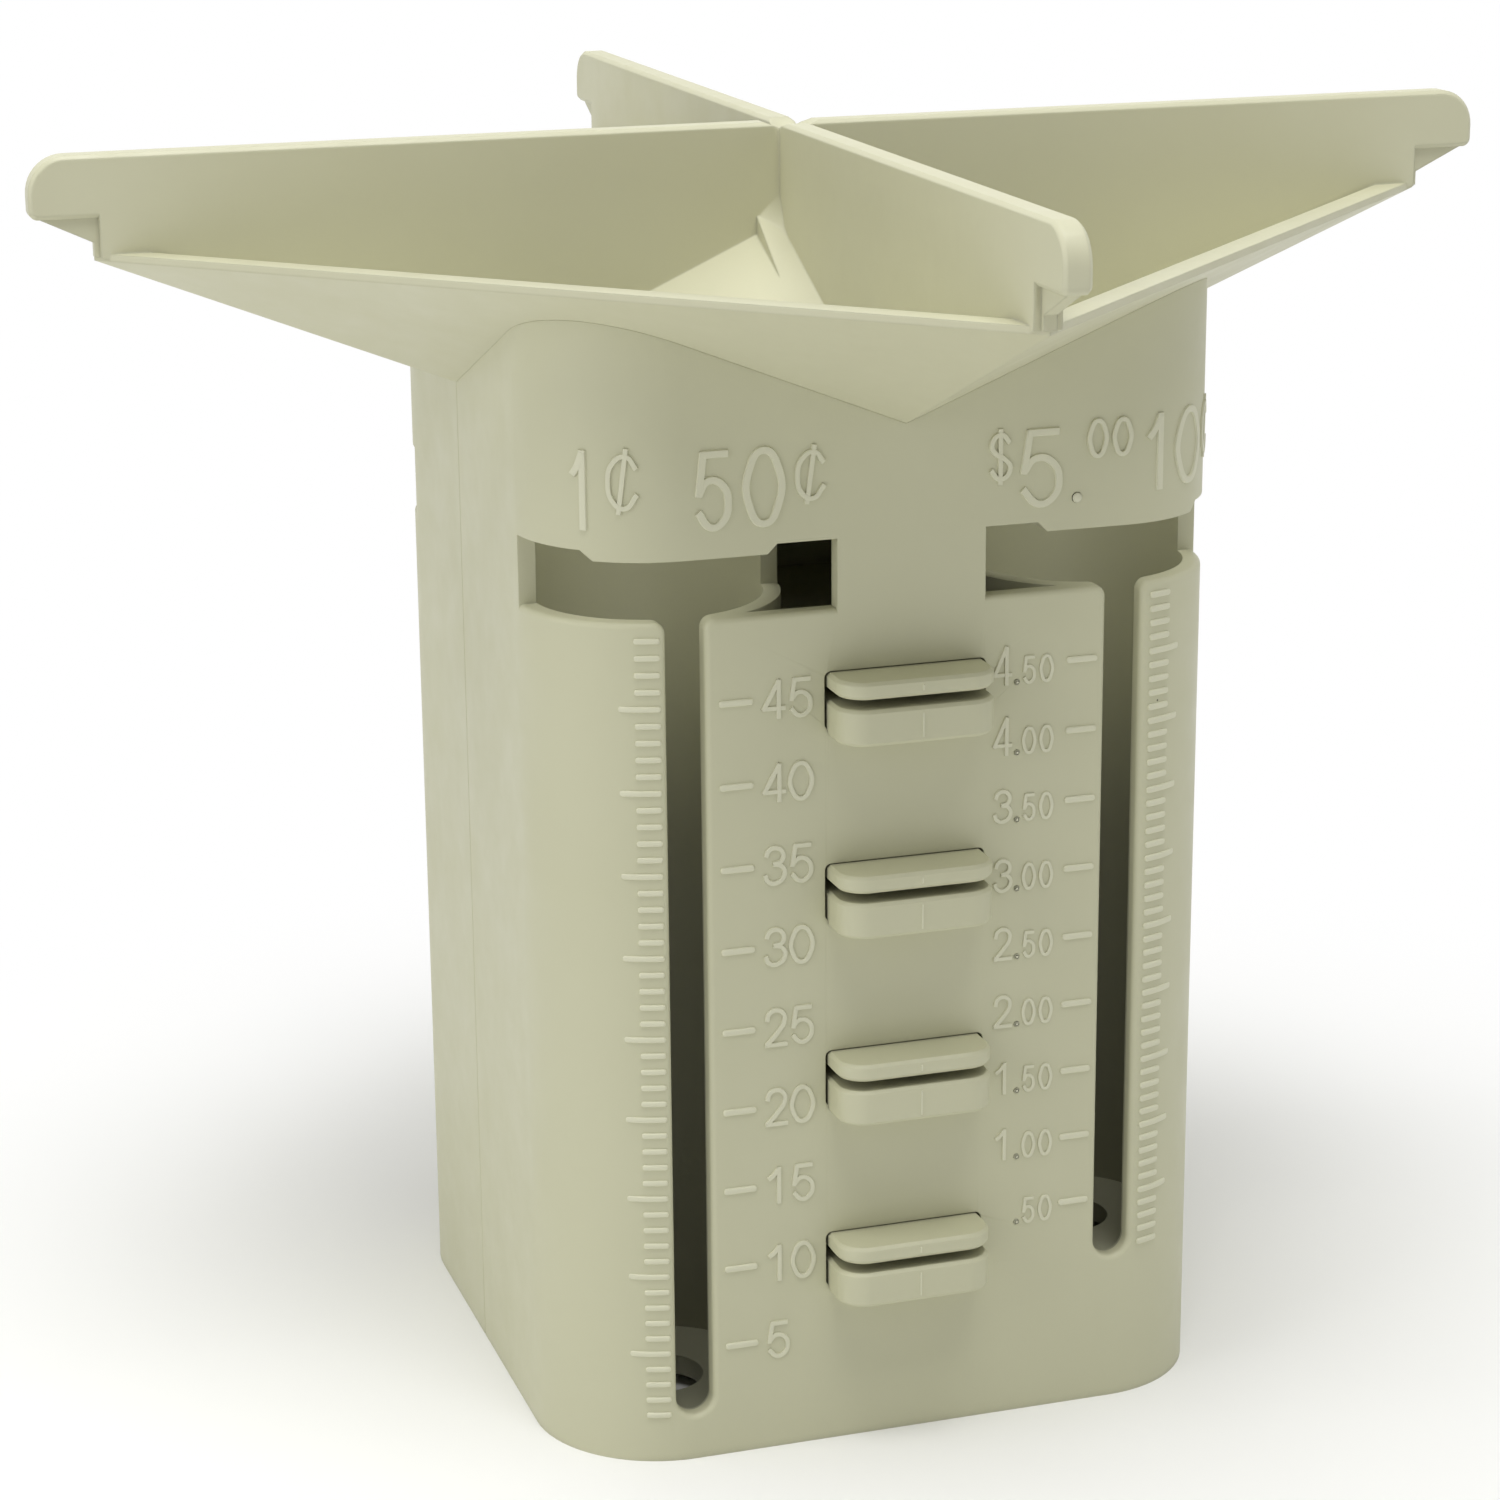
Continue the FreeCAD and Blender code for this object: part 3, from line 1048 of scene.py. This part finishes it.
@dataclass(frozen=True)
class ValueNumbers:
    """Values beside a scale's dashes, with small decimals after a point.

    The coin value is in cents. The column of numbers may lean a little, by its lean for each
    millimetre below the sill.
    """

    scale: Scale
    coin_value: int
    left: float
    lean: float = 0.0
    lead_width: float = 2.0
    lead_height: float = 3.3
    tall_lead: str = "4"
    tall_lead_height: float = 3.8
    point_offset: float = 2.42
    decimal_offset: float = 2.9
    decimal_width: float = 1.36
    decimal_gap: float = 0.34
    decimal_height: float = 2.7
    bold: Engraver = Engraver(0.42, 0.17)
    fine: Engraver = Engraver(0.36, 0.15)
    point: Engraver = Engraver(0.55, 0.17)

    def build(self) -> bpy.types.Object:
        """Cut all values of the scale.

        Returns:
            The values as one flat relief.
        """
        figures = []
        for count in self.scale.fifths():
            dollars, cents = divmod(count * self.coin_value, CENTS_PER_DOLLAR)
            lead = str(dollars)
            height = self.tall_lead_height if lead == self.tall_lead else self.lead_height
            bottom = self.scale.height(count) - height / 2
            start = self.left + self.lean * (self.scale.sill_height - bottom)
            if dollars:
                box = Box(start, start + self.lead_width, bottom, bottom + height)
                figures.append(self.bold.figure(DIGITS[lead], box))
            figures.append(self.point.dot(start + self.point_offset, bottom + self.point.width / 2))
            for place, digit in enumerate(f"{cents:02d}"):
                left = start + self.decimal_offset + place * (self.decimal_width + self.decimal_gap)
                box = Box(left, left + self.decimal_width, bottom, bottom + self.decimal_height)
                figures.append(self.fine.figure(DIGITS[digit], box))
        return joined(figures, f"{self.scale.name}_numbers")


@dataclass(frozen=True)
class CollarValues:
    """Coin values and full-tube values on the collar above two windows."""

    name: str
    bold_figures: tuple[tuple[Figure, Box], ...]
    fine_figures: tuple[tuple[Figure, Box], ...]
    points: tuple[float, ...]
    point_height: float = 89.1
    bold: Engraver = Engraver(0.74)
    fine: Engraver = Engraver(0.5)
    point: Engraver = Engraver(1.0)

    def build(self) -> bpy.types.Object:
        """Cut the values of both tubes.

        Returns:
            The values as one flat relief.
        """
        figures = [self.bold.figure(figure, box) for figure, box in self.bold_figures]
        figures += [self.fine.figure(figure, box) for figure, box in self.fine_figures]
        figures += [self.point.dot(across, self.point_height) for across in self.points]
        return joined(figures, self.name)


FRONT_COLLAR = CollarValues(
    "collar_values",
    bold_figures=(
        (Figure.ONE, Box(-31.0, -28.45, 88.8, 96.2)),
        (Figure.FIVE, Box(-19.7, -16.15, 88.65, 95.9)),
        (Figure.ZERO, Box(-15.1, -11.4, 88.65, 95.95)),
        (Figure.FIVE, Box(10.6, 14.9, 88.45, 95.7)),
        (Figure.ONE, Box(22.75, 25.9, 89.0, 96.35)),
        (Figure.ZERO, Box(26.6, 30.8, 89.05, 96.35)),
    ),
    fine_figures=(
        (Figure.CENT, Box(-27.5, -24.3, 90.4, 96.45)),
        (Figure.CENT, Box(-10.5, -7.35, 90.35, 95.85)),
        (Figure.DOLLAR, Box(7.7, 10.05, 90.7, 96.0)),
        (Figure.ZERO, Box(17.25, 19.2, 92.55, 96.25)),
        (Figure.ZERO, Box(19.65, 21.6, 92.55, 96.25)),
        (Figure.CENT, Box(31.6, 34.6, 90.6, 96.6)),
    ),
    points=(16.3,),
)
REAR_COLLAR = CollarValues(
    "rear_collar_values",
    bold_figures=(
        (Figure.FIVE, Box(-32.2, -28.5, 88.7, 96.1)),
        (Figure.TWO, Box(-17.6, -13.7, 88.7, 96.0)),
        (Figure.ONE, Box(5.4, 8.2, 88.7, 96.0)),
        (Figure.ZERO, Box(9.0, 12.9, 88.7, 96.0)),
        (Figure.TWO, Box(22.2, 25.9, 88.8, 96.2)),
        (Figure.FIVE, Box(26.8, 30.5, 88.8, 96.2)),
    ),
    fine_figures=(
        (Figure.CENT, Box(-27.5, -24.3, 90.4, 96.4)),
        (Figure.DOLLAR, Box(-20.6, -18.2, 90.7, 96.0)),
        (Figure.ZERO, Box(-11.4, -9.45, 92.4, 96.1)),
        (Figure.ZERO, Box(-9.0, -7.05, 92.4, 96.1)),
        (Figure.DOLLAR, Box(2.7, 5.05, 90.7, 96.0)),
        (Figure.ZERO, Box(15.1, 17.05, 92.4, 96.1)),
        (Figure.ZERO, Box(17.5, 19.45, 92.4, 96.1)),
        (Figure.CENT, Box(31.4, 34.4, 90.5, 96.5)),
    ),
    points=(-12.55, 14.0),
)


@dataclass(frozen=True)
class FaceMarks:
    """Raised marks of one face: two scales with their numbers and the values on the collar."""

    scales: tuple[Scale, Scale]
    numbers: tuple[PennyNumbers | ValueNumbers, ValueNumbers]
    collar: CollarValues

    def build(self) -> list[bpy.types.Object]:
        """Shape all marks of the face.

        Returns:
            Flat reliefs.
        """
        reliefs = [relief for scale in self.scales for relief in scale.build()]
        return reliefs + [numbers.build() for numbers in self.numbers] + [self.collar.build()]


FRONT_MARKS = FaceMarks(
    scales=(PENNY_SCALE, DIME_SCALE),
    numbers=(
        PennyNumbers(PENNY_SCALE),
        ValueNumbers(DIME_SCALE, coin_value=10, left=8.2, lean=0.011),
    ),
    collar=FRONT_COLLAR,
)
# The photograph doesn't show the rear, so its marks are laid out as on the front.
REAR_MARKS = FaceMarks(
    scales=(NICKEL_SCALE, QUARTER_SCALE),
    numbers=(
        ValueNumbers(NICKEL_SCALE, coin_value=5, left=-12.6),
        ValueNumbers(QUARTER_SCALE, coin_value=25, left=5.0),
    ),
    collar=REAR_COLLAR,
)


@dataclass(frozen=True)
class Tower:
    """The two shells with the raised marks on their front and rear."""

    half_width: float
    penny_corner: float = 12.225
    dime_corner: float = 11.655
    nickel_corner: float = 13.305
    quarter_corner: float = 14.83
    smooth_angle: float = 40.0

    def face(self, left_radius: float, right_radius: float) -> Face:
        """Describe one face of the tower.

        Args:
            left_radius: Radius of the rounded corner on its left.
            right_radius: Radius of the one on its right.

        Returns:
            The face, as seen from in front of it.
        """
        return Face(
            front=self.half_width,
            left_start=self.half_width - left_radius,
            left_radius=left_radius,
            right_start=self.half_width - right_radius,
            right_radius=right_radius,
        )

    def lay(
        self,
        reliefs: list[bpy.types.Object],
        face: Face,
        turn: float,
        marks: bpy.types.Material,
    ) -> None:
        """Lay flat reliefs on a face of the tower and dress them.

        Args:
            reliefs: Reliefs drawn for that face.
            face: Shape of the face, as seen from in front of it.
            turn: Angle from the tower's front to the face, in radians.
            marks: Finish of the raised marks.
        """
        for relief in reliefs:
            face.wrap(relief)
            relief.data.transform(Matrix.Rotation(turn, 4, "Z"))
            bpy.ops.object.shade_smooth_by_angle(angle=math.radians(self.smooth_angle))
            dress(relief, marks, Body.TOWER)

    def build(self, material: bpy.types.Material, marks: bpy.types.Material) -> None:
        """Make the shells and their marks and dress them.

        Args:
            material: Finish of the shells.
            marks: Finish of the raised marks.
        """
        for node in ("front_shell", "rear_shell"):
            dress(Moulding(node).build(), material, Body.TOWER)
        front = self.face(self.penny_corner, self.dime_corner)
        rear = self.face(self.nickel_corner, self.quarter_corner)
        self.lay(FRONT_MARKS.build(), front, 0.0, marks)
        self.lay(REAR_MARKS.build(), rear, math.pi, marks)


@dataclass(frozen=True)
class PartingLine:
    """Fine ridge on a peg's front, where the two halves of its mould met."""

    width: float = 0.26
    rise: float = 0.09
    crest_share: float = 0.45

    def build(self, name: str, front: float, low: float, high: float) -> bpy.types.Object:
        """Shape the ridge up the middle of a peg.

        Args:
            name: Name of the ridge.
            front: Distance of the peg's front from the tower's axis.
            low: Lower end of the ridge.
            high: Upper end of the ridge.

        Returns:
            The ridge.
        """
        deselect_all()
        bpy.ops.mesh.primitive_cube_add(size=1)
        ridge = bpy.context.object
        ridge.name = name
        ridge.data.name = name
        bpy.ops.object.mode_set(mode="EDIT")
        bpy.ops.mesh.select_mode(type="FACE")
        bpy.ops.mesh.select_all(action="SELECT")
        bpy.ops.transform.resize(value=(self.width * MM, 2 * self.rise * MM, (high - low) * MM))
        bpy.ops.mesh.select_all(action="DESELECT")
        bpy.ops.object.mode_set(mode="OBJECT")
        for face in ridge.data.polygons:
            face.select = face.normal.y < -FACING
        bpy.ops.object.mode_set(mode="EDIT")
        bpy.ops.transform.resize(value=(self.crest_share, 1, 1 - self.width / (high - low)))
        bpy.ops.object.mode_set(mode="OBJECT")
        return shift(ridge, Vector((0, -front, (low + high) / 2)) * MM)


@dataclass(frozen=True)
class Peg:
    """One snap peg: a plain upper leaf of the rear shell above a hooked lower leaf that bends."""

    row: int
    edge: float = 0.45
    slit: float = 0.95
    upper_thickness: float = 1.6

    def build(self, material: bpy.types.Material, marks: bpy.types.Material) -> None:
        """Make the lower leaf and the parting lines of both leaves.

        Args:
            material: Finish of the peg.
            marks: Finish of the parting lines.
        """
        node = f"snap_leaf_{self.row}"
        body = Body(f"leaf_{self.row}")
        dress(Moulding(node).build(), material, body)
        low, high = (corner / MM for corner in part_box(node))
        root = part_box("rear_shell")[0] / MM
        line = PartingLine()
        lower = line.build(f"{node}_parting_line", -low.y, low.z + self.edge, high.z - self.edge)
        dress(lower, marks, body)
        foot = high.z + self.slit
        upper = line.build(
            f"upper_leaf_{self.row}_parting_line",
            -root.y,
            foot + self.edge,
            foot + self.upper_thickness - self.edge,
        )
        dress(upper, marks, Body.TOWER)


@dataclass(frozen=True)
class SoftBox:
    """One square lamp with a soft front; its power is in watts."""

    name: str
    place: tuple[float, float, float]
    size: float
    power: float

    def build(self, target: Vector) -> None:
        """Hang the lamp.

        Args:
            target: Point that it faces.
        """
        lamp = bpy.data.lights.new(self.name, "AREA")
        lamp.shape = "SQUARE"
        lamp.size = self.size * MM
        lamp.energy = self.power
        piece = bpy.data.objects.new(self.name, lamp)
        bpy.context.scene.collection.objects.link(piece)
        place = Vector(self.place)
        piece.location = place * MM
        piece.rotation_euler = (target - place).to_track_quat("-Z", "Y").to_euler()


@dataclass(frozen=True)
class Studio:
    """Table, lamps, background and the camera at the photograph's angle; turns are in degrees."""

    camera_place: tuple[float, float, float] = (-112.656, -340.172, 162.924)
    yaw: float = -17.671
    pitch: float = -16.314
    roll: float = -0.497
    lens: float = 90.71
    sensor_width: float = 36.0
    clip_near: float = 10.0
    clip_far: float = 20000.0
    table_colour: str = "#F6F6F4"
    table_size: float = 6000.0
    shadow_reach: float = 60.0
    white_reach: float = 150.0
    world_level: float = 0.27
    lamp_target: tuple[float, float, float] = (0, 0, 60)
    lamps: tuple[SoftBox, ...] = (
        SoftBox("overhead soft box", (-150, 100, 900), 700, 2.9),
        SoftBox("front soft box", (0, -250, 850), 450, 4.1),
        SoftBox("left soft box", (-900, -200, 400), 700, 2.7),
        SoftBox("right soft box", (900, -350, 450), 700, 0.9),
    )

    def seen_directly(self, tree: bpy.types.NodeTree) -> bpy.types.NodeSocket:
        """Tell rays that see a white room, from the camera and reflections, from rays that carry light.

        Args:
            tree: Node tree that gets the nodes.

        Returns:
            One for a ray that sees the room and zero for one that lights the sorter.
        """
        rays = add_node(tree, "ShaderNodeLightPath", {}, {})
        seen = rays.outputs["Is Camera Ray"]
        for name in ("Is Glossy Ray", "Is Transmission Ray"):
            either = add_node(
                tree,
                "ShaderNodeMath",
                {"operation": "MAXIMUM"},
                {0: seen, 1: rays.outputs[name]},
            )
            seen = either.outputs[0]
        return seen

    def build_table(self) -> None:
        """Lay the pale table, which keeps the shadow near the sorter and is seen as white further off."""
        deselect_all()
        bpy.ops.mesh.primitive_plane_add(size=self.table_size * MM)
        table = bpy.context.object
        table.name = "table"
        material = bpy.data.materials.new("white laminate table")
        material.use_nodes = True
        tree = material.node_tree
        tree.nodes.clear()
        matt = add_node(tree, "ShaderNodeBsdfDiffuse", {"Color": linear_colour(self.table_colour)}, {})
        white = add_node(tree, "ShaderNodeEmission", {"Color": WHITE, "Strength": 1.0}, {})
        place = add_node(tree, "ShaderNodeTexCoord", {}, {}).outputs["Object"]
        away = add_node(tree, "ShaderNodeVectorMath", {"operation": "LENGTH"}, {0: place})
        far = add_node(
            tree,
            "ShaderNodeMapRange",
            {
                "interpolation_type": "SMOOTHSTEP",
                "From Min": self.shadow_reach * MM,
                "From Max": self.white_reach * MM,
                "To Max": 1.0,
            },
            {"Value": away.outputs["Value"]},
        )
        share = add_node(
            tree,
            "ShaderNodeMath",
            {"operation": "MULTIPLY"},
            {0: far.outputs["Result"], 1: self.seen_directly(tree)},
        )
        both = add_node(
            tree,
            "ShaderNodeMixShader",
            {},
            {0: share.outputs[0], 1: matt.outputs[0], 2: white.outputs[0]},
        )
        add_node(tree, "ShaderNodeOutputMaterial", {}, {"Surface": both.outputs[0]})
        table.data.materials.append(material)

    def build_world(self) -> None:
        """Surround the sorter with plain white light, seen as white by the camera."""
        world = bpy.data.worlds.new("white room")
        bpy.context.scene.world = world
        world.use_nodes = True
        tree = world.node_tree
        tree.nodes.clear()
        level = add_node(
            tree,
            "ShaderNodeMapRange",
            {"To Min": self.world_level, "To Max": 1.0},
            {"Value": self.seen_directly(tree)},
        )
        light = add_node(
            tree,
            "ShaderNodeBackground",
            {"Color": WHITE},
            {"Strength": level.outputs["Result"]},
        )
        add_node(tree, "ShaderNodeOutputWorld", {}, {"Surface": light.outputs[0]})

    def build_camera(self) -> None:
        """Set the camera where the photograph was taken from."""
        yaw, pitch, roll = (math.radians(angle) for angle in (self.yaw, self.pitch, self.roll))
        flat = math.cos(pitch)
        forward = Vector((-math.sin(yaw) * flat, math.cos(yaw) * flat, math.sin(pitch)))
        level = forward.cross(Vector((0, 0, 1))).normalized()
        up = level.cross(forward)
        right = math.cos(roll) * level + math.sin(roll) * up
        up = math.cos(roll) * up - math.sin(roll) * level
        camera = bpy.data.cameras.new("camera")
        camera.lens = self.lens
        camera.sensor_width = self.sensor_width
        camera.clip_start = self.clip_near * MM
        camera.clip_end = self.clip_far * MM
        piece = bpy.data.objects.new("camera", camera)
        bpy.context.scene.collection.objects.link(piece)
        turn = Matrix((right, up, -forward)).transposed()
        piece.matrix_world = Matrix.Translation(Vector(self.camera_place) * MM) @ turn.to_4x4()
        bpy.context.scene.camera = piece

    def build(self) -> None:
        """Set up the table, the light and the camera."""
        bpy.context.scene.view_settings.view_transform = "Standard"
        self.build_table()
        self.build_world()
        for lamp in self.lamps:
            lamp.build(Vector(self.lamp_target))
        self.build_camera()


def main() -> None:
    """Build the sorter and its studio."""
    logging.basicConfig(level=logging.INFO, format="%(name)s: %(message)s")
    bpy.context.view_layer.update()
    low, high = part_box("front_shell")
    half_width = (high.x - low.x) / 2 / MM
    shell, tray, marks = (finish.material() for finish in (SHELL_FINISH, TRAY_FINISH, MARK_FINISH))
    Tower(half_width).build(shell, marks)
    dress(Moulding("star_tray").build(), tray, Body.TRAY)
    for row in range(1, PEG_ROWS + 1):
        Peg(row).build(shell, marks)
    Studio().build()


if __name__ == "__main__":
    main()
